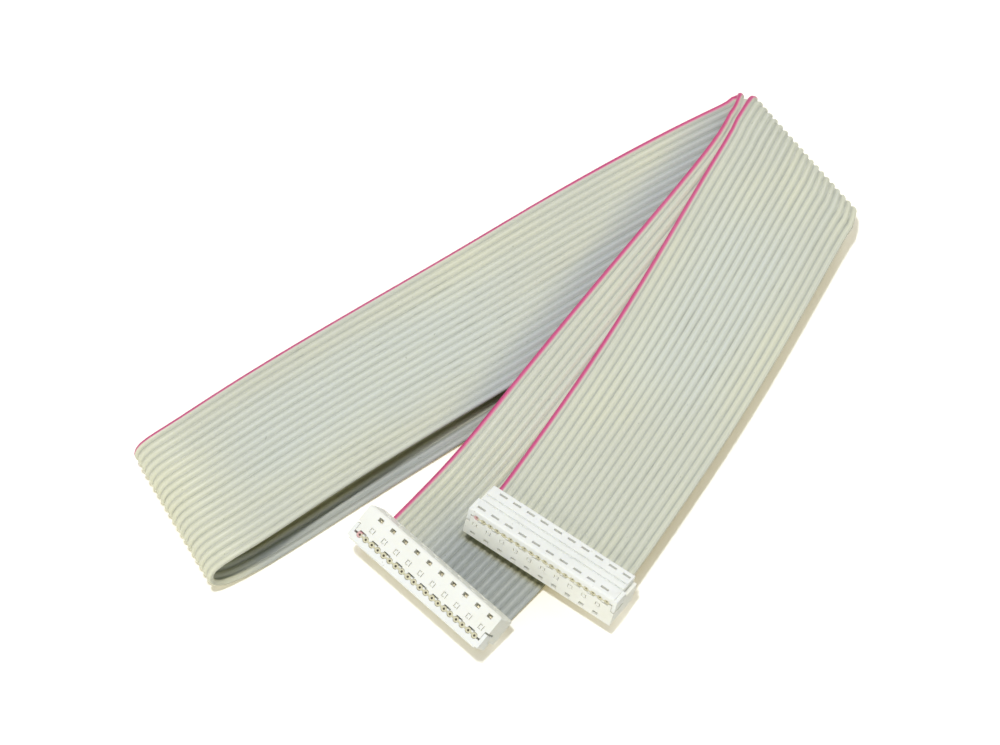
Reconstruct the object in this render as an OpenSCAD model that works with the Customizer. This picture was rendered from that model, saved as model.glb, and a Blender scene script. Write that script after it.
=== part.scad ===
// Flat ribbon cable with an insulation-displacement socket on each end, lying folded on a table.
// Millimetres, +Z up. The origin is on the table, under the middle of the whole lay.

/* [Cable] */
// Number of wires side by side
wires = 20; // [8:2:24]
// Distance between neighbouring wires
pitch = 1.27; // [1.05:0.01:1.6]
// Diameter of one insulated wire
wire_d = 1; // [0.75:0.01:1.1]
// Thickness of the web between two wires
web_t = 0.3; // [0.2:0.01:0.4]
// Diameter of one stranded conductor
conductor_d = 0.38; // [0.3:0.01:0.46]

/* [Connector] */
// Depth of the connector along the cable
depth = 6.3; // [5.3:0.1:8]
// Plastic beyond the outer side of the last wire, at each end
end_margin = 1.15; // [1:0.05:2]
// Height from the middle of the wires down to the mating face
housing_h = 4.8; // [3.8:0.1:6]
// Height from the middle of the wires up to the top of the cover
cover_h = 1.5; // [1.2:0.05:2]
// Radius of the housing's long edges at the mating face
edge_r = 0.45; // [0.2:0.05:0.8]
// Distance from each long side of the connector to the row of forks beside it
fork_inset = 1.0; // [0.8:0.05:1.3]
// Distance between the two rows of pin openings
row_gap = 2.54; // [2:0.01:2.6]
// Width of the cover's ear along the cable
ear_w = 2.7; // [2:0.1:3.2]
// Thickness of the cover's ear
ear_t = 0.6; // [0.4:0.05:0.8]
// Length of the ear below the middle of the wires
ear_drop = 1.3; // [0.8:0.1:1.8]
// Width of the two grooves along the cover
groove_w = 0.5; // [0.2:0.05:0.6]
// Depth of the two grooves along the cover
groove_d = 0.35; // [0.1:0.05:0.5]
// Distance between the two grooves along the cover
groove_gap = 1.3; // [0.8:0.05:1.6]

/* [Windows] */
// Width of the windows in the wire-end face
window_w = 0.9; // [0.6:0.05:1]
// Height of the windows in the wire-end face
window_h = 0.65; // [0.4:0.05:0.8]
// Distance from the mating face to the windows
window_rise = 0.7; // [0.3:0.05:0.8]
// Width of the keyhole marks in the wire-end face
mark_w = 0.85; // [0.5:0.05:0.9]
// Depth of the keyhole marks
mark_d = 0.4; // [0.1:0.05:0.5]

/* [Contact] */
// Thickness of the contact's sheet metal
sheet_t = 0.2; // [0.15:0.01:0.25]
// Width over both tines of the fork
fork_w = 1.2; // [1:0.05:1.3]
// Height of the fork's tips above the middle of the wires
fork_rise = 1.1; // [0.8:0.05:1.3]
// Width of the spring box that takes the pin
box_w = 0.8; // [0.7:0.05:0.9]
// Width of the pin opening in the mating face
pin_hole = 0.6; // [0.4:0.05:0.7]

/* [Fits] */
// Gap between the cable and the plastic around it
wire_gap = 0.02; // [0.01:0.01:0.05]
// Gap around a contact in its cavity
contact_gap = 0.04; // [0.02:0.01:0.08]
// Gap between the cover's ears and the housing
ear_gap = 0.05; // [0.02:0.01:0.1]

/* [Hidden] */
$fn = 32;
cut = 0.1;                                   // how far a cutter runs past a face
skin = 0.02;                                 // how much fuller the free cable is than its end
span = (wires - 1) * pitch;                  // first wire to last wire
cable_w = span + wire_d;
length = cable_w + 2 * end_margin;           // overall length of the connector
half_web = web_t / 2;
bed_z = half_web + wire_gap;                 // faces that clamp the web
bore_r = wire_d / 2 + wire_gap;              // scallops in housing and cover
cover_l = length - 2 * ear_t;                // plate between the ears
end_l = depth - 0.1;                         // the cable stops just inside the wire-end face
ceiling = -bore_r - 0.75;                    // top of the cavities' wide part
floor_z = -housing_h + 0.3;                  // skin that holds the spring boxes in
box_top = ceiling - contact_gap;
box_bottom = floor_z + contact_gap;
box_wall = sheet_t * 0.75;
fork_slot = conductor_d + 0.02;              // gap between the tines at the conductor
tine_w = (fork_w - fork_slot) / 2;
mouth_w = 0.25;                              // how much wider the pin opening is at its mouth
bevel_w = 0.35;                              // side of the cutter that bevels the long edges
ear_clear = 0.3;                             // room under the cover's ear
ear_top = cover_h - 0.3;                     // the ears end a little below the cover's top
fork_base = -bore_r - 0.25;                  // where the tines join
inset = 0.15;                                // the conductors stop this far inside the insulation
dip = 0.88;                                  // depth of the gaps below every second wire
slot_clear = 0.1;                            // room round a fork's tips in the cover
mark_z = -1.65;                              // middle of the keyhole marks
gap_from = 0.25;                             // start and end of a gap, in wire spacings
gap_to = 1.25;
gap_z = [-bore_r - 0.13, -bore_r + 0.13];    // underside and top of the gaps

function wire_x(i) = (i - (wires + 1) / 2) * pitch;
// Odd contacts stand in the row by the wire-end face, even ones in the row by the cable's way out.
function is_odd(i) = i % 2 == 1;
function fork_y(i) = is_odd(i) ? -depth + fork_inset : -fork_inset;
function box_y(i) = -depth / 2 + (is_odd(i) ? -row_gap / 2 : row_gap / 2);

// Where the cable leaves each connector: point, plan heading of the cable and its pitch.
exit_a = [-11.6, -37.4, 2.7];
heading_a = 46.8;
pitch_a = -68;
exit_b = [9.2, -30.4, 7];
heading_b = 55;
pitch_b = -18.4;
lead = 1.4;                                  // straight stretch at each connector
function ahead(from, heading, pitch, reach) =
    from + reach * [cos(pitch) * cos(heading), cos(pitch) * sin(heading), sin(pitch)];

// Route of the free cable from connector a to connector b. Each row is a point on the middle of the
// cable, then the plan heading and the tilt of the line across it, towards the marked edge wire.
route = [
    [each exit_a, heading_a + 90, 0],
    [each ahead(exit_a, heading_a, pitch_a, lead), heading_a + 90, 0],
    // down to the table and up over the other strips
    [-10.1, -35.6, 0.47, 137, 0],
    [-7.4, -32.6, 0.56, 137, 0],
    [-1.7, -26.6, 1.05, 138, 0],
    [3.8, -20.9, 2.46, 140, 3],
    [11.5, -11.5, 5.16, 141, 3],
    [24.1, 5.4, 5.4, 141, 1],
    [35.9, 20.8, 5.3, 142, 1],
    [43.2, 30.6, 5.2, 135, 1],
    // inner fold
    [46, 35.4, 5.2, 126.5, 0],
    [46.3, 37.5, 5.2, 127.5, 0],
    [46.6, 38.2, 3.9, 126.5, 0],
    [45.7, 38.2, 2.5, 126.5, 0],
    [43.1, 37.4, 2.5, 127, 0],
    // upper strip to the loop
    [32.9, 32, 2.7, 126, -1],
    [16.1, 21.5, 3.2, 125, -1],
    [-0.9, 9.8, 3.3, 125, -1],
    [-18.3, -1.9, 4.7, 124, -2],
    [-34.5, -14.2, 7.4, 123, -2],
    // open loop
    [-44.8, -22.6, 8.7, 121, -2],
    [-50.5, -25.8, 8, 120, -2],
    [-51.3, -26.6, 4.7, 120, -2],
    [-49.6, -25.9, 1.06, 120, -1],
    [-43.9, -22.8, 0.56, 122, 0],
    // lower strip on the table
    [-29.5, -12.5, 0.56, 123, 0],
    [-9.5, 1.1, 0.56, 124, 0],
    [11.5, 15.1, 0.56, 125, 0],
    [30.5, 27.3, 0.56, 126, 0],
    // outer fold, round the inner one
    [43.9, 35.9, 0.56, 127, 0],
    [47.4, 37.8, 1.25, 126.5, 0],
    [48.8, 37.8, 3.9, 126.5, 0],
    [48.2, 36.5, 6.5, 127.5, 0],
    [47.2, 33.3, 7.2, 132, 0],
    // top strip down to connector b
    [43, 26, 7, 138, 1],
    [36.4, 13.7, 6.7, 145, 1],
    [28.5, -0.5, 6.6, 148, 1],
    [19.7, -14.6, 6.4, 150, 0],
    [each ahead(exit_b, heading_b, pitch_b, lead), heading_b + 90, 0],
    [each exit_b, heading_b + 90, 0],
];
rings_per_row = 2;
last = len(route) - 1;
widest_slant = 0.93;                         // a line across is never longer than width / 0.93

// Smooth curve through the rows: a uniform cubic B-spline that starts and ends on its end rows.
function row(k) = k < 0 ? 2 * route[0] - route[1]
    : k > last ? 2 * route[last] - route[last - 1]
    : route[k];
function smooth(k, t) =
    (pow(1 - t, 3) * row(k - 1) + (3 * pow(t, 3) - 6 * t * t + 4) * row(k)
    + (-3 * pow(t, 3) + 3 * t * t + 3 * t + 1) * row(k + 1) + pow(t, 3) * row(k + 2)) / 6;
function rate(k, t) =
    (-pow(1 - t, 2) * row(k - 1) + (3 * t * t - 4 * t) * row(k)
    + (-3 * t * t + 2 * t + 1) * row(k + 1) + t * t * row(k + 2)) / 2;
function xyz(v) = [v[0], v[1], v[2]];
function unit(v) = v / norm(v);
function across(r) = [cos(r[4]) * cos(r[3]), cos(r[4]) * sin(r[3]), sin(r[4])];

// Outline of the free cable: half widths and half thicknesses, as shares of the full section.
half_t = wire_d / 2 + skin;
half_w = cable_w / 2 + skin;
bevel = wire_d * 0.3;
outline = [
    [half_w - bevel, half_t], [half_w, half_t - bevel], [half_w, bevel - half_t], [half_w - bevel, -half_t],
    [bevel - half_w, -half_t], [-half_w, bevel - half_t], [-half_w, half_t - bevel], [bevel - half_w, half_t],
];
function ring(k, t) =
    let (r = smooth(k, t), along = unit(xyz(rate(k, t))), side = across(r),
         slant = norm(cross(along, side)), up = unit(cross(along, side)),
         stretch = 1 / max(slant, widest_slant))
    [for (p = outline) xyz(r) + side * p[0] * stretch + up * p[1]];
rings = [
    for (k = [0 : last - 1], j = [0 : rings_per_row - 1]) ring(k, j / rings_per_row),
    ring(last - 1, 1),
];

function contact_name(side, i) = str("contact_", side, "_", i < 10 ? "0" : "", i);

module at_a() {
    translate(exit_a) rotate([0, 0, heading_a - 90]) rotate([pitch_a, 0, 0]) rotate([0, 180, 0]) children();
}

module at_b() {
    translate(exit_b) rotate([0, 0, heading_b - 90]) rotate([pitch_b, 0, 0]) children();
}

// Extrudes an outline drawn in X and Z from the cable's way out back towards the wire-end face.
module along_cable(reach) {
    rotate([90, 0, 0]) linear_extrude(reach) children();
}

module block(low, high) {
    translate(low) cube(high - low);
}

module both_ends() {
    for (s = [0, 1]) mirror([s, 0, 0]) children();
}

// Cutter that bevels a long edge that runs through [0, y, z].
module edge_bevel(y, z) {
    translate([0, y, z]) rotate([45, 0, 0]) cube([length + 2 * cut, bevel_w, bevel_w], center = true);
}

module wire_circles(d) {
    for (i = [1 : wires]) translate([wire_x(i), 0]) circle(d = d);
}

// The cable's stretch inside a connector: ribbed, bored for the conductors and cut by the forks.
module ribbon_end() {
    color("gainsboro") difference() {
        along_cable(end_l) difference() {
            union() {
                wire_circles(wire_d);
                translate([-span / 2, -half_web]) square([span, web_t]);
            }
            wire_circles(conductor_d);
        }
        for (i = [1 : wires])
            translate([wire_x(i), fork_y(i), 0])
                cube([fork_w + 2 * wire_gap, sheet_t + 2 * wire_gap, 2 * wire_d], center = true);
    }
}

// The cable from connector to connector.
module ribbon() {
    sides = len(outline);
    n = len(rings);
    color("gainsboro") polyhedron(
        points = [for (r = rings, p = r) p],
        faces = [
            [for (j = [sides - 1 : -1 : 0]) j],
            [for (j = [0 : sides - 1]) (n - 1) * sides + j],
            for (k = [0 : n - 2], j = [0 : sides - 1])
                [k * sides + j, k * sides + (j + 1) % sides, (k + 1) * sides + j],
            for (k = [0 : n - 2], j = [0 : sides - 1])
                [k * sides + (j + 1) % sides, (k + 1) * sides + (j + 1) % sides, (k + 1) * sides + j],
        ],
        convexity = 10
    );
}

module conductors() {
    color("peru") along_cable(end_l - 0.15) wire_circles(conductor_d);
}

// Cavity of one contact: fork slot, neck and spring-box pocket, with its pin opening.
module cavity(i) {
    x = wire_x(i);
    fy = fork_y(i);
    by = box_y(i);
    fx = fork_w / 2 + contact_gap;
    ft = sheet_t / 2 + contact_gap;
    bx = box_w / 2 + contact_gap;
    block([x - fx, fy - ft, ceiling - sheet_t - 2 * contact_gap], [x + fx, fy + ft, cut]);
    block([x - bx, min(fy - ft, by - bx), box_top - sheet_t - contact_gap],
          [x + bx, max(fy + ft, by + bx), ceiling]);
    block([x - bx, by - bx, floor_z], [x + bx, by + bx, ceiling]);
    block([x - pin_hole / 2, by - pin_hole / 2, -housing_h - cut], [x + pin_hole / 2, by + pin_hole / 2, floor_z]);
    // wider mouth that leads the pin in
    translate([x, by, -housing_h]) cube([pin_hole + mouth_w, pin_hole + mouth_w, mouth_w], center = true);
}

// A small keyhole mark: a shallow groove round a square, open at one corner.
module mark() {
    bar = mark_w / 6;
    block([-mark_w / 2, 0, -mark_w / 2], [-mark_w / 2 + bar, mark_d + cut, mark_w / 2]);
    block([-bar / 2, 0, -mark_w / 2], [mark_w / 2, mark_d + cut, -mark_w / 2 + bar]);
    block([mark_w / 2 - bar, 0, -mark_w / 2], [mark_w / 2, mark_d + cut, mark_w / 2]);
    block([-bar / 2, 0, mark_w / 2 - bar], [mark_w / 2, mark_d + cut, mark_w / 2]);
}

module housing_outline() {
    difference() {
        union() {
            translate([-length / 2, -housing_h + edge_r]) square([length, housing_h - edge_r - bed_z]);
            translate([-length / 2 + edge_r, -housing_h]) square([length - 2 * edge_r, 2 * edge_r]);
            for (x = [-1, 1]) translate([x * (length / 2 - edge_r), -housing_h + edge_r]) circle(r = edge_r);
        }
        wire_circles(2 * bore_r);
    }
}

module housing() {
    color("ivory") difference() {
        along_cable(depth) housing_outline();
        for (i = [1 : wires]) cavity(i);
        for (i = [1 : 2 : wires - 1]) {
            x = wire_x(i);
            // window onto the spring box
            block([x - window_w / 2, -depth - cut, -housing_h + window_rise],
                  [x + window_w / 2, box_y(i) - box_w / 2, -housing_h + window_rise + window_h]);
            // gap below every second wire
            block([x + pitch * gap_from, -depth - cut, gap_z[0]], [x + pitch * gap_to, -depth + dip, gap_z[1]]);
            translate([x, -depth - cut, mark_z]) mark();
        }
        // recess for the cover's ear at each end
        both_ends()
            block([cover_l / 2 - ear_gap, -depth - cut, -ear_drop - ear_clear],
                  [length / 2 + cut, -depth + ear_w + ear_gap, 0]);
        edge_bevel(0, -housing_h);
        edge_bevel(-depth, -housing_h);
    }
}

module cover() {
    groove_y = [-depth / 2 - groove_gap / 2, -depth / 2 + groove_gap / 2];
    color("azure") difference() {
        union() {
            along_cable(depth) difference() {
                translate([-cover_l / 2, bed_z]) square([cover_l, cover_h - bed_z]);
                wire_circles(2 * bore_r);
            }
            // ears that hook over the housing's ends
            both_ends() {
                block([cover_l / 2, -depth, -ear_drop], [length / 2, -depth + ear_w, ear_top]);
                block([cover_l / 2 - cut, -depth, bed_z], [length / 2, -depth + ear_w, ear_top]);
            }
        }
        for (i = [1 : wires])
            translate([wire_x(i), fork_y(i), 0])
                cube([fork_w + 2 * slot_clear, sheet_t + 2 * slot_clear, 2 * cover_h + cut], center = true);
        for (y = groove_y)
            translate([0, y, cover_h]) cube([length + cut, groove_w, 2 * groove_d], center = true);
        edge_bevel(0, cover_h);
        edge_bevel(-depth, cover_h);
    }
}

// One contact: fork, neck and spring box, of one folded sheet.
module contact(i) {
    fy = fork_y(i);
    by = box_y(i);
    half_box = box_w / 2;
    half_sheet = sheet_t / 2;
    hollow = half_box - box_wall;
    color("goldenrod") translate([wire_x(i), 0, 0]) {
        difference() {
            block([-fork_w / 2, fy - half_sheet, box_top - sheet_t], [fork_w / 2, fy + half_sheet, fork_rise]);
            block([-fork_slot / 2, fy - sheet_t, fork_base], [fork_slot / 2, fy + sheet_t, fork_rise + cut]);
            // lead-in between the tips
            translate([0, fy, fork_rise]) rotate([0, 45, 0]) cube([tine_w, 2 * sheet_t, tine_w], center = true);
        }
        block([-half_box, min(fy, by) - half_sheet, box_top - sheet_t],
              [half_box, max(fy, by) + half_sheet, box_top]);
        difference() {
            block([-half_box, by - half_box, box_bottom], [half_box, by + half_box, box_top]);
            block([-hollow, by - hollow, box_bottom - cut], [hollow, by + hollow, box_top - sheet_t]);
        }
    }
}

ribbon();
at_a() ribbon_end();  // ribbon_end_a
at_b() ribbon_end();  // ribbon_end_b
at_a() conductors();  // conductors_a
at_b() conductors();  // conductors_b
at_a() housing();  // housing_a
at_a() cover();  // cover_a
at_b() housing();  // housing_b
at_b() cover();  // cover_b
for (i = [1 : wires]) {
    at_a() contact(i);
    at_b() contact(i);
}
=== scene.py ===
"""Flat grey ribbon cable with a pink edge wire and a small socket on each end, lying folded on a table."""

import sys
import logging
import math
from dataclasses import dataclass, field
from enum import Enum
from typing import Mapping, Sequence

import bmesh
import bpy
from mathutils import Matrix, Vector, noise


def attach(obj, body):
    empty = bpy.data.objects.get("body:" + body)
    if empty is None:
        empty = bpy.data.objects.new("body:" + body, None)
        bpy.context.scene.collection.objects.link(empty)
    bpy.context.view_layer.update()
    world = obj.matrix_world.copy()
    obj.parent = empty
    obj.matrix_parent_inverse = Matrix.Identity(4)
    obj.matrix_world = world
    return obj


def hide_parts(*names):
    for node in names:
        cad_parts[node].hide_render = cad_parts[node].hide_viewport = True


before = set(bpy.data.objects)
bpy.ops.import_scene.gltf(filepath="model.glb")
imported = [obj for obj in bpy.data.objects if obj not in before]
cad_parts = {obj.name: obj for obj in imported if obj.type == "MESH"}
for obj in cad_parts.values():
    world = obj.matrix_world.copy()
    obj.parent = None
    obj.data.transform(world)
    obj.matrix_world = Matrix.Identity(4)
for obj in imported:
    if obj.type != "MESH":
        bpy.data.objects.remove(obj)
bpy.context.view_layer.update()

LOG = logging.getLogger("ribbon_cable")
MM = 0.001
ROOT = "root"
Rgb = tuple[float, float, float]


class Number:
    """A number that changes over a surface: the output socket of a shader node."""

    def __init__(self, graph: "Graph", socket: bpy.types.NodeSocket) -> None:
        """Wraps a socket.

        Args:
            graph: the material's graph.
            socket: the output that carries the number.
        """
        self.graph = graph
        self.socket = socket

    def _math(self, operation: str, *values: "Number | float") -> "Number":
        """One Math node.

        Args:
            operation: the Math node's operation.
            values: its inputs, in order.

        Returns:
            The node's result.
        """
        node = self.graph.node("ShaderNodeMath", {"operation": operation}, dict(enumerate(values)))
        return Number(self.graph, node.outputs[0])

    def __add__(self, other: "Number | float") -> "Number":
        """self + other."""
        return self._math("ADD", self, other)

    def __radd__(self, other: float) -> "Number":
        """other + self."""
        return self._math("ADD", other, self)

    def __sub__(self, other: "Number | float") -> "Number":
        """self - other."""
        return self._math("SUBTRACT", self, other)

    def __rsub__(self, other: float) -> "Number":
        """other - self."""
        return self._math("SUBTRACT", other, self)

    def __mul__(self, other: "Number | float") -> "Number":
        """self * other."""
        return self._math("MULTIPLY", self, other)

    def __rmul__(self, other: float) -> "Number":
        """other * self."""
        return self._math("MULTIPLY", other, self)

    def __truediv__(self, other: "Number | float") -> "Number":
        """self / other."""
        return self._math("DIVIDE", self, other)

    def __rtruediv__(self, other: float) -> "Number":
        """other / self."""
        return self._math("DIVIDE", other, self)

    def whole(self) -> "Number":
        """The number rounded to the nearest whole one."""
        return self._math("ROUND", self)

    def size(self) -> "Number":
        """The number without its sign."""
        return self._math("ABSOLUTE", self)

    def rise(self, low: float, high: float, to_low: float = 0.0, to_high: float = 1.0) -> "Number":
        """A smooth step.

        Args:
            low: where the step starts.
            high: where it ends.
            to_low: the value before the step.
            to_high: the value after it.

        Returns:
            to_low up to low, to_high from high on, and a smooth change between.
        """
        node = self.graph.node(
            "ShaderNodeMapRange",
            {"interpolation_type": "SMOOTHSTEP"},
            {"Value": self, "From Min": low, "From Max": high, "To Min": to_low, "To Max": to_high},
        )
        return Number(self.graph, node.outputs["Result"])


class Graph:
    """The node graph of one material, or of the world."""

    def __init__(self, owner: bpy.types.Material | bpy.types.World) -> None:
        """Starts with no nodes.

        Args:
            owner: the new material or world that the graph belongs to.
        """
        self.owner = owner
        owner.use_nodes = True
        self.tree = owner.node_tree
        self.tree.nodes.clear()

    def node(
        self,
        kind: str,
        settings: Mapping[str, object] | None = None,
        inputs: Mapping[str | int, object] | None = None,
    ) -> bpy.types.Node:
        """Adds one node.

        Args:
            kind: the node's type.
            settings: its settings, set first.
            inputs: values or links of its sockets, by name or number.

        Returns:
            The new node.
        """
        made = self.tree.nodes.new(kind)
        for name, value in (settings or {}).items():
            setattr(made, name, value)
        for key, value in (inputs or {}).items():
            self._feed(made.inputs[key], value)
        return made

    def _feed(self, socket: bpy.types.NodeSocket, value: object) -> None:
        """Links a socket, or sets its value.

        Args:
            socket: the input socket.
            value: a Number, an output socket or a plain value.
        """
        if isinstance(value, Number):
            self.tree.links.new(value.socket, socket)
        elif isinstance(value, bpy.types.NodeSocket):
            self.tree.links.new(value, socket)
        elif socket.type == "RGBA" and len(value) == 3:
            socket.default_value = (*value, 1.0)
        else:
            socket.default_value = value

    def number(self, node: bpy.types.Node, output: str | int = 0) -> Number:
        """A node's output as a Number."""
        return Number(self, node.outputs[output])

    def carried(self, name: str) -> Number:
        """A number that the mesh carries at its points.

        Args:
            name: the attribute's name.

        Returns:
            The number.
        """
        node = self.node("ShaderNodeAttribute", {"attribute_name": name, "attribute_type": "GEOMETRY"})
        return self.number(node, "Fac")

    def place(self) -> bpy.types.NodeSocket:
        """The point on the object, in metres."""
        return self.node("ShaderNodeTexCoord").outputs["Object"]

    def point(self, x: Number | float, y: Number | float, z: Number | float = 0.0) -> bpy.types.NodeSocket:
        """A vector of three numbers."""
        return self.node("ShaderNodeCombineXYZ", None, {0: x, 1: y, 2: z}).outputs[0]

    def scaled(self, vector: bpy.types.NodeSocket, by: Rgb) -> bpy.types.NodeSocket:
        """A vector times a factor for each axis."""
        node = self.node("ShaderNodeVectorMath", {"operation": "MULTIPLY"}, {0: vector, 1: by})
        return node.outputs[0]

    def cloud(
        self, where: bpy.types.NodeSocket, scale: float, detail: float = 3.0, roughness: float = 0.55
    ) -> Number:
        """Soft random patches, from 0 to 1.

        Args:
            where: the point that the patches are read at.
            scale: patches for each unit of it.
            detail: finer layers.
            roughness: how strong the finer layers are.

        Returns:
            The patches.
        """
        node = self.node(
            "ShaderNodeTexNoise",
            {"noise_dimensions": "3D"},
            {"Vector": where, "Scale": scale, "Detail": detail, "Roughness": roughness},
        )
        return self.number(node, 0)

    def mix(self, share: Number | float, first: object, second: object) -> bpy.types.NodeSocket:
        """Mixes two colours.

        Args:
            share: how much of the second, from 0 to 1.
            first: the first colour.
            second: the second colour.

        Returns:
            The mixed colour.
        """
        node = self.node(
            "ShaderNodeMix",
            {"data_type": "RGBA", "clamp_factor": True},
            {0: share, 6: first, 7: second},
        )
        return node.outputs[2]

    def bump(self, height: Number, depth: float) -> bpy.types.NodeSocket:
        """A bumpy normal, from a height of 0 to 1 and the metres that 1 stands for."""
        return self.node("ShaderNodeBump", None, {"Height": height, "Distance": depth}).outputs[0]

    def finish(self, shader: bpy.types.NodeSocket) -> bpy.types.Material:
        """Connects the surface shader and gives the finished material."""
        self.node("ShaderNodeOutputMaterial", None, {"Surface": shader})
        return self.owner

    def principled(self, **inputs: object) -> bpy.types.Material:
        """Finishes the material with one Principled shader; underscores in names are spaces."""
        sockets = {name.replace("_", " "): value for name, value in inputs.items()}
        return self.finish(self.node("ShaderNodeBsdfPrincipled", None, sockets).outputs[0])


@dataclass(frozen=True)
class Stretch:
    """A part of the cable's length, in metres from its first end, with faded edges."""

    starts: float
    full: float
    fades: float
    ends: float

    def share(self, run: Number) -> Number:
        """How much of it a place along the cable has, from 0 to 1."""
        return run.rise(self.starts, self.full) * run.rise(self.fades, self.ends, 1.0, 0.0)


@dataclass
class CablePoint:
    """Where a shaded point lies on the cable: the inputs that its colours are worked out from."""

    graph: Graph
    cross: Number  # metres from the middle, towards the pink edge
    run: Number  # metres from the first end
    wire: Number  # its wire, from 0 at the pink edge
    off_crest: Number  # 0 on top of the wire, 1 between two wires
    flow: bpy.types.NodeSocket  # millimetres across and along, apart for each wire
    streaks: Number  # long thin streaks, from 0 to 1


@dataclass(frozen=True)
class CableVinyl:
    """Extruded flexible vinyl: light warm grey, with the first wire pink."""

    name: str = "cable_vinyl"
    grey: Rgb = (0.70, 0.705, 0.59)
    aged: Rgb = (0.79, 0.78, 0.59)
    cool: Rgb = (0.69, 0.73, 0.68)
    drab: Rgb = (0.5, 0.51, 0.44)
    pink: Rgb = (0.64, 0.08, 0.24)
    pale_pink: Rgb = (0.80, 0.26, 0.42)
    # painted light: lighter colour for the wires' sides, to offset the shade their slant gets
    painted_flank_light: Rgb = (0.84, 0.85, 0.72)
    # painted shadow: the grey of cable parts that other strips and socket B shade
    painted_shadow_grey: Rgb = (0.40, 0.44, 0.49)
    # painted shade: dark colour inside the loop, under the upper strip
    painted_loop_shade: Rgb = (0.52, 0.49, 0.27)
    # painted shade: dark lines between the wires, deepening the ribs' shading
    line: Rgb = (0.31, 0.33, 0.30)
    # painted shadow: the dark band under socket B's lower edge
    painted_socket_shadow: Rgb = (0.31, 0.29, 0.13)
    soil: Rgb = (0.22, 0.23, 0.19)
    cut: Rgb = (0.72, 0.68, 0.48)
    # painted shade: the cut ends' darker outline, where each wire end sits in the socket's bore
    rim: Rgb = (0.36, 0.33, 0.22)
    pitch: float = 1.27 * MM
    first_wire: float = 12.065 * MM
    skin_depth: float = 0.006 * MM
    loop: Stretch = Stretch(0.205, 0.230, 0.245, 0.265)
    upper_middle: Stretch = Stretch(0.145, 0.170, 0.200, 0.220)
    outer_middle: Stretch = Stretch(0.355, 0.370, 0.390, 0.405)
    lower_strip: Stretch = Stretch(0.228, 0.236, 0.320, 0.340)
    thin_edge: Stretch = Stretch(0.12, 0.15, 0.24, 0.27)

    def make(self) -> bpy.types.Material:
        """Builds the material.

        Returns:
            The material. It reads the mesh's crosswise and lengthwise places, in metres.
        """
        g = Graph(bpy.data.materials.new(self.name))
        at = self._locate(g)
        edge = self._edge_share(at)
        colour = g.mix(edge, self._ribbed(at, self._aged_grey(at)), self._edge_colour(at))
        colour = self._soiled(at, colour)
        # painted shade: each cut end darker towards its outline, as in the gap round it in the bore
        cut_face = g.mix(g.carried("rim").rise(0.55, 0.95), self.cut, self.rim)
        cut_face = g.mix(edge * 0.5, cut_face, self.pale_pink)
        colour = g.mix(g.carried("cut").rise(0.96, 0.98), colour, cut_face)
        scuffs = g.cloud(g.scaled(at.flow, (1.4, 0.35, 1.0)), 1.0, 4.0, 0.7)
        grain = g.cloud(g.scaled(at.flow, (9.0, 0.5, 1.0)), 1.0, 2.0)
        peel = g.cloud(g.scaled(at.flow, (4.0, 3.0, 1.0)), 1.0, 2.0)
        return g.principled(
            Base_Color=colour,
            Roughness=scuffs.rise(0.35, 0.7, 0.40, 0.56),
            Normal=g.bump(grain * 0.5 + peel * 0.35 + scuffs * 0.4, self.skin_depth),
            Subsurface_Weight=0.20,
            Subsurface_Radius=(0.5, 0.5, 0.4),
            Subsurface_Scale=0.6 * MM,
            IOR=1.50,
            Specular_IOR_Level=0.5,
        )

    def _locate(self, g: Graph) -> CablePoint:
        """Reads where the shaded point lies.

        Args:
            g: the material's graph.

        Returns:
            The point.
        """
        cross, run = g.carried("crosswise"), g.carried("lengthwise")
        place = (self.first_wire - cross) / self.pitch
        wire = place.whole()
        flow = g.point(cross * 1000.0, run * 1000.0, wire * 7.3)
        streaks = g.cloud(g.scaled(flow, (3.0, 0.045, 1.0)), 1.0, 3.0)
        return CablePoint(g, cross, run, wire, (place - wire).size() * 2.0, flow, streaks)

    def _aged_grey(self, at: CablePoint) -> bpy.types.NodeSocket:
        """The grey of the wires' tops, yellowed in patches and at the loop.

        Args:
            at: the shaded point.

        Returns:
            Its colour.
        """
        g = at.graph
        blotches = g.cloud(g.scaled(at.flow, (0.09, 0.035, 0.0)), 1.0, 2.0)
        each_wire = g.cloud(g.point(at.wire * 3.7, at.run * 6.0, 0.4), 1.0, 1.0)
        colour = g.mix(blotches.rise(0.42, 0.68, 0.0, 0.6), self.grey, self.aged)
        colour = g.mix(each_wire.rise(0.45, 0.75, 0.0, 0.25), colour, self.cool)
        colour = g.mix(at.streaks.rise(0.3, 0.75, 0.0, 0.10), colour, self.drab)
        colour = g.mix(self.loop.share(at.run) * 0.85, colour, self.aged)
        middle = self.upper_middle.share(at.run) + self.outer_middle.share(at.run)
        inward = at.cross.size().rise(0.004, 0.011, 1.0, 0.0)
        return g.mix(middle * inward * 0.6, colour, self.cool)

    def _ribbed(self, at: CablePoint, colour: bpy.types.NodeSocket) -> bpy.types.NodeSocket:
        """Painted light and shade: the wires' sides lighter and the lines between them darker, painting
        the ribs' shading; a painted shadow grey where other strips shade the cable, painted shade inside
        the loop, and a painted shadow under socket B's edge.

        Args:
            at: the shaded point.
            colour: the colour of the wires' tops.

        Returns:
            The colour with them.
        """
        g, cross, run = at.graph, at.cross, at.run
        # masks of painted shadow: beside is the strip next to the strip lying over it, near_socket the
        # strip in socket B's shadow, under the lower strip inside the loop
        beside = (run + cross * 2.75).rise(0.133, 0.152, 1.0, 0.0) * run.rise(0.104, 0.110)
        outer = run.rise(0.100, 0.110, 1.0, 0.0) + run.rise(0.345, 0.355) + beside * 0.8
        near_socket = run.rise(0.016, 0.028, 1.0, 0.0) * cross.rise(0.002, 0.010, 1.0, 0.0)
        under = self.lower_strip.share(run)
        painted_shade_share = near_socket * 0.62 + under * 0.60 + beside * 0.68
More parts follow.
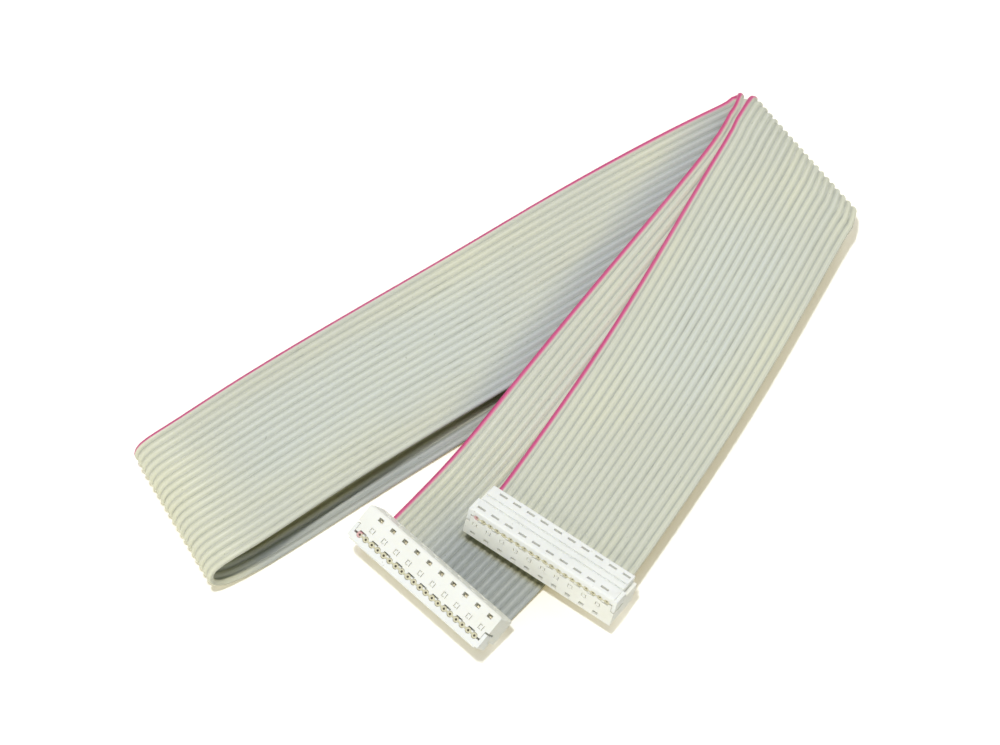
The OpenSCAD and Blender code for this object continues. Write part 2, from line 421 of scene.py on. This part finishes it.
        # painted shade: the lower strip's wires deepest inside the loop
        within = under * cross.rise(-0.0106, -0.0092)
        # painted shadow: the band of the strip just under socket B's lower edge
        overhung = (run + cross * 0.12).rise(0.0171, 0.0182) * run.rise(0.026, 0.030, 1.0, 0.0)
        # painted light: the sides of each wire made lighter, softening the ribs' shading
        colour = g.mix(at.off_crest.rise(0.25, 0.62) * (outer * 0.36 + 0.14), colour, self.painted_flank_light)
        # painted shadow: those parts turned shadow grey
        colour = g.mix(painted_shade_share, colour, self.painted_shadow_grey)
        # painted shade: darker lines between the wires
        colour = g.mix(at.off_crest.rise(0.54, 0.96) * (outer * 0.20 + 0.48), colour, self.line)
        # painted shade inside the loop
        colour = g.mix(within * 0.9, colour, self.painted_loop_shade)
        # painted shadow under socket B's edge
        return g.mix(overhung * cross.rise(0.001, 0.004, 0.85, 0.0), colour, self.painted_socket_shadow)

    def _edge_share(self, at: CablePoint) -> Number:
        """How much of a point is the pink wire.

        Args:
            at: the shaded point.

        Returns:
            The share, from 0 to 1.
        """
        beyond = (at.cross - self.first_wire) * 1000.0 + at.streaks * 0.08
        return (beyond - self.thin_edge.share(at.run) * 0.18).rise(-0.32, -0.02)

    def _edge_colour(self, at: CablePoint) -> bpy.types.NodeSocket:
        """The pink wire's colour, paler towards its neighbour.

        Args:
            at: the shaded point.

        Returns:
            The colour.
        """
        faded = (at.cross - self.first_wire).rise(-0.32 * MM, 0.15 * MM, 0.9, 0.0)
        faded = faded + at.streaks.rise(0.4, 0.7, 0.0, 0.2)
        return at.graph.mix(faded, self.pink, self.pale_pink)

    def _soiled(self, at: CablePoint, colour: bpy.types.NodeSocket) -> bpy.types.NodeSocket:
        """Dirt in dashes between the wires, and fine specks.

        Args:
            at: the shaded point.
            colour: the clean colour.

        Returns:
            The colour with the dirt.
        """
        g = at.graph
        dashes = g.cloud(g.point(at.wire * 11.0, at.run * 160.0, 0.0), 1.0, 2.0)
        patches = g.cloud(g.point(at.cross * 70.0, at.run * 28.0, 3.0), 1.0, 1.0)
        dirt = 0.02 + dashes.rise(0.55, 0.64, 0.0, 0.50) * patches.rise(0.46, 0.62)
        colour = g.mix(at.off_crest.rise(0.70, 1.0) * dirt, colour, self.soil)
        specks = g.cloud(g.scaled(at.flow, (2.2, 1.1, 1.0)), 1.0, 1.0)
        return g.mix(specks.rise(0.765, 0.80, 0.0, 0.35), colour, self.soil)


@dataclass(frozen=True)
class Moulding:
    """Injection-moulded plastic with a fine satin texture."""

    name: str
    light: Rgb
    shade: Rgb
    grime: Rgb = (0.40, 0.37, 0.28)
    skin_depth: float = 0.010 * MM

    def make(self) -> bpy.types.Material:
        """Builds the material.

        Returns:
            The material.
        """
        g = Graph(bpy.data.materials.new(self.name))
        where = g.place()
        mottled = g.cloud(where, 160.0, 3.0)
        fine = g.cloud(where, 2600.0, 3.0, 0.6)
        smears = g.cloud(g.scaled(where, (240.0, 620.0, 400.0)), 1.0, 4.0, 0.65)
        specks = g.cloud(where, 1500.0, 1.0).rise(0.745, 0.79, 0.0, 0.35)
        colour = g.mix(mottled.rise(0.35, 0.7, 0.0, 0.9), self.light, self.shade)
        colour = g.mix(smears.rise(0.58, 0.78, 0.0, 0.10), colour, self.grime)
        colour = g.mix(specks, colour, self.grime)
        return g.principled(
            Base_Color=colour,
            Roughness=smears.rise(0.3, 0.75, 0.36, 0.52),
            Normal=g.bump(fine * 0.6 + smears * 0.6, self.skin_depth),
            Subsurface_Weight=0.20,
            Subsurface_Radius=(0.5, 0.47, 0.38),
            Subsurface_Scale=1.0 * MM,
            IOR=1.55,
        )


@dataclass(frozen=True)
class PlatedMetal:
    """Tin-plated copper alloy, dulled by handling."""

    name: str
    bright: Rgb
    dull: Rgb
    smooth: float = 0.30
    rough: float = 0.55
    skin_depth: float = 0.006 * MM

    def make(self) -> bpy.types.Material:
        """Builds the material.

        Returns:
            The material.
        """
        g = Graph(bpy.data.materials.new(self.name))
        where = g.place()
        stain = g.cloud(where, 900.0, 4.0, 0.65)
        rolled = g.cloud(g.scaled(where, (3000.0, 3000.0, 500.0)), 1.0, 2.0)
        return g.principled(
            Base_Color=g.mix(stain.rise(0.35, 0.7), self.bright, self.dull),
            Metallic=0.9,
            Roughness=stain.rise(0.3, 0.7, self.smooth, self.rough),
            Normal=g.bump(rolled, self.skin_depth),
        )


@dataclass(frozen=True)
class TableTop:
    """Warm white matt table, shown white where it is lit, with warm shadows."""

    name: str = "table_top"
    seen: Rgb = (1.07, 1.12, 1.20)
    lift: Rgb = (0.21, 0.14, 0.0)
    bounce: Rgb = (0.78, 0.74, 0.60)
    grain_depth: float = 0.02 * MM

    def make(self) -> bpy.types.Material:
        """Builds the material.

        Returns:
            The material.
        """
        g = Graph(bpy.data.materials.new(self.name))
        rays = g.node("ShaderNodeLightPath")
        seen = g.number(rays, "Is Camera Ray") + g.number(rays, "Is Glossy Ray")
        seen = (seen + g.number(rays, "Is Transmission Ray")).rise(0.0, 1.0)
        grain = g.cloud(g.place(), 900.0, 3.0)
        colour = g.mix(seen, self.bounce, self.seen)
        rough = g.bump(grain, self.grain_depth)
        matt = g.node("ShaderNodeBsdfDiffuse", None, {"Color": colour, "Normal": rough})
        glow = g.node("ShaderNodeEmission", None, {"Color": self.lift, "Strength": seen})
        both = g.node("ShaderNodeAddShader", None, {0: matt.outputs[0], 1: glow.outputs[0]})
        return g.finish(both.outputs[0])


def ahead(start: Vector, heading: float, climb: float, reach: float) -> Vector:
    """The point at a distance from another.

    Args:
        start: the first point.
        heading: plan direction from +X, in degrees.
        climb: angle above the table, in degrees.
        reach: distance.

    Returns:
        The point.
    """
    h, c = math.radians(heading), math.radians(climb)
    return start + reach * Vector((math.cos(c) * math.cos(h), math.cos(c) * math.sin(h), math.sin(c)))


@dataclass(frozen=True)
class Mouth:
    """Where the cable leaves a socket: the point, its plan heading and its climb."""

    x: float
    y: float
    z: float
    heading: float
    climb: float

    def point(self) -> Vector:
        """The point, in metres."""
        return Vector((self.x, self.y, self.z)) * MM

    def out(self, reach: float) -> Vector:
        """The point a distance along the cable's way out, in metres."""
        return ahead(self.point(), self.heading, self.climb, reach)


MOUTH_A = Mouth(-11.6, -37.4, 2.7, 46.8, -68.0)
MOUTH_B = Mouth(9.2, -30.4, 7.0, 55.0, -18.4)
LEAD = 1.4 * MM

# Points of the free cable in millimetres, with the plan heading and tilt of the line across it.
ROUTE: tuple[tuple[float, float, float, float, float], ...] = (
    (-10.1, -35.6, 0.47, 137, 0), (-7.4, -32.6, 0.56, 137, 0), (-1.7, -26.6, 1.05, 138, 0),
    (3.8, -20.9, 2.46, 140, 3), (11.5, -11.5, 5.16, 141, 3), (24.1, 5.4, 5.4, 141, 1),
    (35.9, 20.8, 5.3, 142, 1), (43.2, 30.6, 5.2, 135, 1),
    (46, 35.4, 5.2, 126.5, 0), (46.3, 37.5, 5.2, 127.5, 0), (46.6, 38.2, 3.9, 126.5, 0),
    (45.7, 38.2, 2.5, 126.5, 0), (43.1, 37.4, 2.5, 127, 0),
    (32.9, 32, 2.7, 126, -1), (16.1, 21.5, 3.2, 125, -1), (-0.9, 9.8, 3.3, 125, -1),
    (-18.3, -1.9, 4.7, 124, -2), (-34.5, -14.2, 7.4, 123, -2),
    (-44.8, -22.6, 8.7, 121, -2), (-50.5, -25.8, 8, 120, -2), (-51.3, -26.6, 4.7, 120, -2),
    (-49.6, -25.9, 1.06, 120, -1), (-43.9, -22.8, 0.56, 122, 0),
    (-29.5, -12.5, 0.56, 123, 0), (-9.5, 1.1, 0.56, 124, 0), (11.5, 15.1, 0.56, 125, 0),
    (30.5, 27.3, 0.56, 126, 0),
    (43.9, 35.9, 0.56, 127, 0), (47.4, 37.8, 1.25, 126.5, 0), (48.8, 37.8, 3.9, 126.5, 0),
    (48.2, 36.5, 6.5, 127.5, 0), (47.2, 33.3, 7.2, 132, 0),
    (43, 26, 7, 138, 1), (36.4, 13.7, 6.7, 145, 1), (28.5, -0.5, 6.6, 148, 1),
    (19.7, -14.6, 6.4, 150, 0),
)


@dataclass
class Station:
    """One cross-section of the cable."""

    centre: Vector
    side: Vector
    up: Vector
    stretch: float
    run: float = 0.0
    loose: float = 1.0


@dataclass
class Skin:
    """The cable's mesh in the making: its points, what each point carries, and its faces."""

    points: list[Vector] = field(default_factory=list)
    cross: list[float] = field(default_factory=list)
    run: list[float] = field(default_factory=list)
    cut: list[float] = field(default_factory=list)
    rim: list[float] = field(default_factory=list)
    faces: list[tuple[int, ...]] = field(default_factory=list)

    def add(self, point: Vector, cross: float, run: float, cut: bool, rim: bool) -> None:
        """Adds a point.

        Args:
            point: the point.
            cross: its crosswise place.
            run: its lengthwise place.
            cut: whether it is on a cut end.
            rim: whether it is on a wire's upper or lower side.
        """
        self.points.append(point)
        self.cross.append(cross)
        self.run.append(run)
        self.cut.append(float(cut))
        self.rim.append(float(rim))

    def mesh(self, name: str) -> bpy.types.Mesh:
        """Makes the mesh.

        Args:
            name: its name.

        Returns:
            The mesh, with its faces turned outwards.
        """
        mesh = bpy.data.meshes.new(name)
        mesh.from_pydata(self.points, [], self.faces)
        carried = {"crosswise": self.cross, "lengthwise": self.run, "cut": self.cut, "rim": self.rim}
        for key, values in carried.items():
            mesh.attributes.new(key, "FLOAT", "POINT").data.foreach_set("value", values)
        mesh.validate()
        shape = bmesh.new()
        shape.from_mesh(mesh)
        bmesh.ops.recalc_face_normals(shape, faces=shape.faces)
        shape.to_mesh(mesh)
        shape.free()
        return mesh


@dataclass
class RibbonCable:
    """Twenty round wires side by side, joined by a thin web, swept along one route."""

    wires: int = 20
    pitch: float = 1.27 * MM
    wire_d: float = 1.0 * MM
    web_t: float = 0.3 * MM
    bore_d: float = 0.40 * MM
    inside: float = 6.2 * MM
    arc_points: int = 7
    widest_slant: float = 0.93
    waver: float = 0.03 * MM
    bore_depth: float = 0.8 * MM
    settling: float = 12 * MM
    finest_turn: float = 7.5
    crisp: float = 62.0
    stations: list[Station] = field(default_factory=list)

    def rows(self) -> list[tuple[Vector, float, float]]:
        """The route's rows.

        Returns:
            Centre in metres, heading and tilt of the line across, in degrees.
        """
        head = [MOUTH_A.point(), MOUTH_A.out(LEAD)]
        tail = [MOUTH_B.out(LEAD), MOUTH_B.point()]
        rows = [(p, MOUTH_A.heading + 90.0, 0.0) for p in head]
        rows += [(Vector(r[:3]) * MM, float(r[3]), float(r[4])) for r in ROUTE]
        return rows + [(p, MOUTH_B.heading + 90.0, 0.0) for p in tail]

    def survey(self) -> None:
        """Works out every cross-section, close together where the cable bends."""
        table = [[*p, a, b] for p, a, b in self.rows()]
        first = [2 * u - v for u, v in zip(table[0], table[1])]
        final = [2 * u - v for u, v in zip(table[-1], table[-2])]
        table = [first, *table, final]
        spans = len(table) - 3
        for k in range(spans):
            knots = table[k:k + 4]
            turn = self._rate(knots, 0.0).angle(self._rate(knots, 1.0))
            steps = min(12, max(4, math.ceil(turn / math.radians(self.finest_turn))))
            for j in range(steps + (k == spans - 1)):
                self.stations.append(self._section(knots, j / steps))
        self._add_ends()
        run = 0.0
        for before, here in zip([self.stations[0], *self.stations], self.stations):
            run += (here.centre - before.centre).length
            here.run = run
        for here in self.stations:
            gap = min(here.run, run - here.run) - self.inside
            here.loose = min(1.0, max(0.0, gap / self.settling))

    @staticmethod
    def _weights(t: float) -> tuple[float, float, float, float]:
        """Weights of a uniform cubic B-spline."""
        return (
            (1 - t) ** 3 / 6, (3 * t ** 3 - 6 * t * t + 4) / 6,
            (-3 * t ** 3 + 3 * t * t + 3 * t + 1) / 6, t ** 3 / 6,
        )

    @staticmethod
    def _rate(knots: Sequence[Sequence[float]], t: float) -> Vector:
        """The curve's direction.

        Args:
            knots: the four rows round the span.
            t: place in the span, from 0 to 1.

        Returns:
            The unit direction.
        """
        w = (
            -((1 - t) ** 2) / 2, (3 * t * t - 4 * t) / 2,
            (-3 * t * t + 2 * t + 1) / 2, t * t / 2,
        )
        return sum((Vector(k[:3]) * a for k, a in zip(knots, w)), Vector()).normalized()

    def _section(self, knots: Sequence[Sequence[float]], t: float) -> Station:
        """One cross-section.

        Args:
            knots: the four rows round the span.
            t: place in the span, from 0 to 1.

        Returns:
            The cross-section.
        """
        row = [sum(k[i] * a for k, a in zip(knots, self._weights(t))) for i in range(5)]
        plan, tilt = math.radians(row[3]), math.radians(row[4])
        side = Vector((math.cos(tilt) * math.cos(plan), math.cos(tilt) * math.sin(plan), math.sin(tilt)))
        normal = self._rate(knots, t).cross(side)
        stretch = 1.0 / max(normal.length, self.widest_slant)
        return Station(Vector(row[:3]), side, normal.normalized(), stretch)

    def _add_ends(self) -> None:
        """Adds the straight stretches inside the two sockets."""
        depths = [self.inside * share for share in (1.0, 0.75, 0.5, 0.25)]
        start, end = self.stations[0], self.stations[-1]
        self.stations = [
            *(Station(MOUTH_A.out(-d), start.side, start.up, 1.0) for d in depths),
            *self.stations,
            *(Station(MOUTH_B.out(-d), end.side, end.up, 1.0) for d in reversed(depths)),
        ]

    def wire_offset(self, wire: int) -> float:
        """How far a wire lies from the middle, towards the pink edge."""
        return ((self.wires + 1) / 2 - wire) * self.pitch

    def _angles(self, wire: int) -> tuple[list[float], list[float]]:
        """Angles of a wire's outline.

        Args:
            wire: its number, from 1.

        Returns:
            Those of its upper side, from the pink edge on, and those of its lower side back.
        """
        joint = math.asin(self.web_t / self.wire_d)
        step = (math.pi - 2 * joint) / (self.arc_points - 1)
        upper = [joint + step * j for j in range(self.arc_points)]
        lower = [math.pi + a for a in upper]
        if wire == 1:
            upper = [0.0, *upper]
        if wire == self.wires:
            lower = [math.pi, *lower]
        return upper, lower

    def outline(self) -> list[tuple[int, float]]:
        """Goes round a cross-section.

        Returns:
            Wire and angle of each of its points, in order.
        """
        numbers = range(1, self.wires + 1)
        upper = [(w, a) for w in numbers for a in self._angles(w)[0]]
        lower = [(w, a) for w in reversed(numbers) for a in self._angles(w)[1]]
        return upper + lower

    def _wander(self, wire: int, station: Station) -> float:
        """How far a wire rises out of the cable's plane here."""
        wave = noise.noise(Vector((wire * 0.83, station.run * 55.0, 1.7)))
        return wave * self.waver * station.loose

    def build(self, vinyl: bpy.types.Material) -> bpy.types.Object:
        """Makes the cable's mesh.

        Args:
            vinyl: the cable's material.

        Returns:
            The cable.
        """
        skin = self._sweep()
        for index, inward in ((0, 1), (len(self.stations) - 1, -1)):
            self._cut_end(index, inward, skin)
        mesh = skin.mesh("ribbon_cable")
        mesh.materials.append(vinyl)
        mesh.shade_smooth()
        mesh.set_sharp_from_angle(angle=math.radians(self.crisp))
        cable = bpy.data.objects.new("ribbon_cable", mesh)
        bpy.context.scene.collection.objects.link(cable)
        return cable

    def _sweep(self) -> Skin:
        """Sweeps the outline along the stations.

        Returns:
            The skin, open at both ends.
        """
        skin, outline, radius = Skin(), self.outline(), self.wire_d / 2
        ends = (self.stations[0], self.stations[-1])
        for s in self.stations:
            rise = {w: self._wander(w, s) for w in range(1, self.wires + 1)}
            for wire, angle in outline:
                offset, aside = self.wire_offset(wire), radius * math.cos(angle)
                across = s.side * (offset * s.stretch + aside)
                raised = s.up * (radius * math.sin(angle) + rise[wire])
                point = s.centre + across + raised
                skin.add(point, offset + aside, s.run, s in ends, abs(math.sin(angle)) > 0.5)
        n = len(outline)
        skin.faces += [
            (k * n + j, (k + 1) * n + j, (k + 1) * n + (j + 1) % n, k * n + (j + 1) % n)
            for k in range(len(self.stations) - 1)
            for j in range(n)
        ]
        return skin

    def _cut_end(self, index: int, inward: int, skin: Skin) -> None:
        """Closes an end with its cut face, bored for the conductors.

        Args:
            index: the end's cross-section.
            inward: 1 at the first cross-section and -1 at the last.
            skin: the skin, added to.
        """
        station = self.stations[index]
        into = (self.stations[index + inward].centre - station.centre).normalized() * self.bore_depth
        outline = self.outline()
        base = index * len(outline)
        where = {key: base + j for j, key in enumerate(outline)}
        bore = self.bore_d / 2
        for wire in range(1, self.wires + 1):
            upper, lower = self._angles(wire)
            angles = upper + lower
            ring = len(skin.points)
            offset = self.wire_offset(wire)
            middle = station.centre + station.side * offset
            for depth in (Vector(), into):
                for a in angles:
                    spoke = station.side * math.cos(a) + station.up * math.sin(a)
                    across = offset + bore * math.cos(a)
                    skin.add(middle + spoke * bore + depth, across, station.run, True, False)
            m = len(angles)
            for j in range(m):
                k = (j + 1) % m
                skin.faces.append((where[(wire, angles[j])], where[(wire, angles[k])], ring + k, ring + j))
                skin.faces.append((ring + j, ring + k, ring + m + k, ring + m + j))
            skin.faces.append(tuple(ring + m + j for j in range(m)))
            if wire < self.wires:
                after, back = self._angles(wire + 1)
                skin.faces.append((
                    where[(wire, upper[-1])], where[(wire + 1, after[0])],
                    where[(wire + 1, back[-1])], where[(wire, lower[0])],
                ))

    def length(self) -> float:
        """The cable's length from cut to cut, in metres."""
        return self.stations[-1].run


@dataclass
class StrandedEnd:
    """The conductors of one cable end: seven twisted strands in each wire."""

    mouth: Mouth
    wires: int = 20
    pitch: float = 1.27 * MM
    strand_d: float = 0.124 * MM
    lay: float = 7.0 * MM
    back: float = 6.05 * MM
    strands: int = 7
    sides: int = 8
    rings: int = 9
    crisp: float = 50.0

    def build(self, name: str, metal: bpy.types.Material) -> bpy.types.Object:
        """Makes the twenty conductors.

        Args:
            name: the piece's name.
            metal: its material.

        Returns:
            The piece.
        """
        out = (self.mouth.out(1.0) - self.mouth.point()).normalized()
        side = ahead(Vector(), self.mouth.heading + 90.0, 0.0, 1.0)
        up = out.cross(side).normalized()
        points: list[Vector] = []
        faces: list[tuple[int, ...]] = []
        for wire in range(self.wires):
            middle = side * ((wire - (self.wires - 1) / 2) * self.pitch)
            for strand in range(self.strands):
                self._strand(strand, wire, middle, out, side, up, points, faces)
        mesh = bpy.data.meshes.new(name)
        mesh.from_pydata(points, [], faces)
        mesh.materials.append(metal)
        mesh.validate()
        mesh.shade_smooth()
        mesh.set_sharp_from_angle(angle=math.radians(self.crisp))
        piece = bpy.data.objects.new(name, mesh)
        bpy.context.scene.collection.objects.link(piece)
        return piece

    def _strand(
        self, strand: int, wire: int, middle: Vector, out: Vector, side: Vector, up: Vector,
        points: list[Vector], faces: list[tuple[int, ...]],
    ) -> None:
        """Adds one strand.

        Args:
            strand: 0 for the core and 1 to 6 round it.
            wire: the wire's number, from 0.
            middle: the wire's middle from the cable's middle.
            out: the cable's way out.
            side: the line across.
            up: square to both.
            points: the mesh's points, added to.
            faces: the mesh's faces, added to.
        """
        first = len(points)
        reach = 0.0 if strand == 0 else self.strand_d
        for k in range(self.rings):
            back = self.back * k / (self.rings - 1)
            turn = 2 * math.pi * (back / self.lay + strand / (self.strands - 1) + wire * 0.37)
            spoke = side * math.cos(turn) + up * math.sin(turn)
            centre = self.mouth.point() - out * back + middle + spoke * reach
            for j in range(self.sides):
                a = 2 * math.pi * j / self.sides
                points.append(centre + (side * math.cos(a) + up * math.sin(a)) * (self.strand_d / 2))
        for k in range(self.rings - 1):
            for j in range(self.sides):
                a, b = first + k * self.sides + j, first + k * self.sides + (j + 1) % self.sides
                faces.append((a, b, b + self.sides, a + self.sides))
        end = first + (self.rings - 1) * self.sides
        faces.append(tuple(first + j for j in reversed(range(self.sides))))
        faces.append(tuple(end + j for j in range(self.sides)))


class Side(Enum):
    """The two ends of the cable."""

    A = "a"
    B = "b"


@dataclass
class EndSocket:
    """One socket: housing, cover, twenty contacts and the conductors' ends in it."""

    side: Side
    mouth: Mouth
    housing: Moulding
    cover: Moulding
    contact: PlatedMetal
    strands: PlatedMetal
    soft_edge: float = 0.08 * MM
    soft_segments: int = 2
    sharpest_flat: float = 35.0

    def names(self, kind: str) -> list[str]:
        """Names of the CAD nodes of one kind at this end."""
        return sorted(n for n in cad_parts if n.startswith(f"{kind}_{self.side.value}"))

    def dress(self) -> list[bpy.types.Object]:
        """Gives every piece its finish.

        Returns:
            The pieces of this end.
        """
        pieces = [
            self._moulded(self.names("housing")[0], self.housing, "housing_plastic"),
            self._moulded(self.names("cover")[0], self.cover, "cover_plastic"),
        ]
        metal = self.contact.make()
        for name in self.names("contact"):
            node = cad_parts[name]
            node.data.materials.clear()
            node.data.materials.append(metal)
            pieces.append(node)
        ends = StrandedEnd(self.mouth).build(f"strands_{self.side.value}", self.strands.make())
        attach(ends, ROOT)
        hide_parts(f"conductors_{self.side.value}")
        pieces.append(ends)
        return pieces

    def _moulded(self, node: str, finish: Moulding, slot: str) -> bpy.types.Object:
        """Makes a moulded piece: the CAD shape with softened edges.

        Args:
            node: the CAD node.
            finish: its plastic.
            slot: not used.

        Returns:
            The piece.
        """
        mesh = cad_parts[node].data.copy()
        mesh.name = f"{node}_moulded"
        shape = bmesh.new()
        shape.from_mesh(mesh)
        bmesh.ops.remove_doubles(shape, verts=shape.verts, dist=0.0005 * MM)
        bmesh.ops.dissolve_limit(
            shape, angle_limit=math.radians(1.0), verts=shape.verts, edges=shape.edges
        )
        shape.to_mesh(mesh)
        shape.free()
        mesh.materials.clear()
        mesh.materials.append(finish.make())
        piece = bpy.data.objects.new(mesh.name, mesh)
        bpy.context.scene.collection.objects.link(piece)
        soft = piece.modifiers.new("soft_edges", "BEVEL")
        soft.width = self.soft_edge
        soft.segments = self.soft_segments
        soft.limit_method = "ANGLE"
        soft.angle_limit = math.radians(self.sharpest_flat)
        soft.harden_normals = True
        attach(piece, ROOT)
        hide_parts(node)
        return piece


@dataclass(frozen=True)
class Lamp:
    """A soft round lamp aimed at the middle of the table.

    Its azimuth and elevation, in degrees, are its direction from the middle, with azimuth 0 towards -Y.
    Its level is how bright it makes a level white surface, 1 for white.
    """

    name: str
    azimuth: float
    elevation: float
    reach: float
    size: float
    level: float
    tint: Rgb

    def hang(self) -> None:
        """Adds the lamp to the scene."""
        azimuth, elevation = math.radians(self.azimuth), math.radians(self.elevation)
        away = Vector((
            math.sin(azimuth) * math.cos(elevation), -math.cos(azimuth) * math.cos(elevation),
            math.sin(elevation),
        ))
        light = bpy.data.lights.new(self.name, "AREA")
        light.shape, light.size, light.color = "DISK", self.size, self.tint
        light.energy = self.level * (math.pi * self.reach) ** 2 / math.sin(elevation)
        lamp = bpy.data.objects.new(self.name, light)
        lamp.location = away * self.reach
        lamp.rotation_mode = "QUATERNION"
        lamp.rotation_quaternion = (-away).to_track_quat("-Z", "Y")
        bpy.context.scene.collection.objects.link(lamp)


LAMPS = (
    Lamp("key_lamp", -32.0, 81.0, 0.9, 0.06, 0.50, (1.0, 0.985, 0.95)),
    Lamp("back_lamp", 140.0, 40.0, 0.8, 0.45, 0.22, (1.0, 0.975, 0.90)),
    Lamp("fill_lamp", -52.0, 20.0, 0.8, 0.50, 0.098, (1.0, 0.985, 0.91)),
    Lamp("front_lamp", -8.0, 22.0, 0.8, 0.50, 0.045, (1.0, 0.98, 0.90)),
)


@dataclass
class Studio:
    """Camera, table and light."""

    target: Vector = field(default_factory=lambda: Vector((-0.0005, 0.0005, 0.0)))
    elevation: float = 65.0
    distance: float = 0.6
    lens: float = 136.1
    sensor: float = 36.0
    table_half: float = 0.5
    sky: Rgb = (0.80, 0.97, 1.18)
    sky_level: float = 0.19

    def place_camera(self) -> None:
        """Makes the camera, without shift or depth of field."""
        lens = bpy.data.cameras.new("camera")
        lens.lens, lens.sensor_width = self.lens, self.sensor
        lens.clip_start, lens.clip_end = 0.01, 20.0
        camera = bpy.data.objects.new("camera", lens)
        e = math.radians(self.elevation)
        back = Vector((0.0, -math.cos(e), math.sin(e)))
        camera.location = self.target + back * self.distance
        camera.rotation_mode = "QUATERNION"
        camera.rotation_quaternion = (-back).to_track_quat("-Z", "Y")
        bpy.context.scene.collection.objects.link(camera)
        bpy.context.scene.camera = camera

    def lay_table(self) -> None:
        """Makes the table top."""
        half = self.table_half
        mesh = bpy.data.meshes.new("table")
        corners = [(-half, -half, 0), (half, -half, 0), (half, half, 0), (-half, half, 0)]
        mesh.from_pydata([Vector(c) for c in corners], [], [(0, 1, 2, 3)])
        mesh.materials.append(TableTop().make())
        table = bpy.data.objects.new("table", mesh)
        bpy.context.scene.collection.objects.link(table)

    def light(self) -> None:
        """Hangs the lamps and gives the world its even light, which the camera sees as white."""
        for lamp in LAMPS:
            lamp.hang()
        world = bpy.data.worlds.new("studio")
        bpy.context.scene.world = world
        g = Graph(world)
        rays = g.node("ShaderNodeLightPath")
        even = g.node("ShaderNodeBackground", None, {"Color": self.sky, "Strength": self.sky_level})
        seen = g.node("ShaderNodeBackground", None, {"Color": (1.0, 1.0, 1.0), "Strength": 1.0})
        choice = g.node(
            "ShaderNodeMixShader",
            None,
            {0: rays.outputs["Is Camera Ray"], 1: even.outputs[0], 2: seen.outputs[0]},
        )
        g.node("ShaderNodeOutputWorld", None, {"Surface": choice.outputs[0]})


def main() -> None:
    """Builds the scene, piece by piece."""
    logging.basicConfig(level=logging.INFO, format="%(message)s", stream=sys.stdout)
    bpy.context.scene.view_settings.view_transform = "Standard"
    studio = Studio()
    studio.place_camera()
    cable = RibbonCable()
    cable.survey()
    ribbon = cable.build(CableVinyl().make())
    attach(ribbon, ROOT)
    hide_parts("ribbon", "ribbon_end_a", "ribbon_end_b")
    LOG.info("%s: %d faces, %.1f mm", ribbon.name, len(ribbon.data.polygons), cable.length() / MM)
    cream = Moulding("housing_cream", (0.95, 0.95, 0.88), (0.92, 0.915, 0.83))
    white = Moulding("cover_white", (0.94, 0.95, 0.91), (0.90, 0.91, 0.87))
    tin = PlatedMetal("contact_tin", (0.80, 0.74, 0.56), (0.58, 0.52, 0.37))
    copper = PlatedMetal("strand_copper", (0.20, 0.17, 0.12), (0.08, 0.07, 0.05))
    sockets = [
        EndSocket(Side.A, MOUTH_A, cream, white, tin, copper),
        EndSocket(Side.B, MOUTH_B, cream, white, tin, copper),
    ]
    pieces = {s.side: s.dress() for s in sockets}
    for side, made in pieces.items():
        for piece in made:
            LOG.info("socket %s, %s: %d faces", side.value, piece.name, len(piece.data.polygons))
    tuple(MOUTH_A.point())
    studio.lay_table()
    studio.light()


if __name__ == "__main__":
    main()
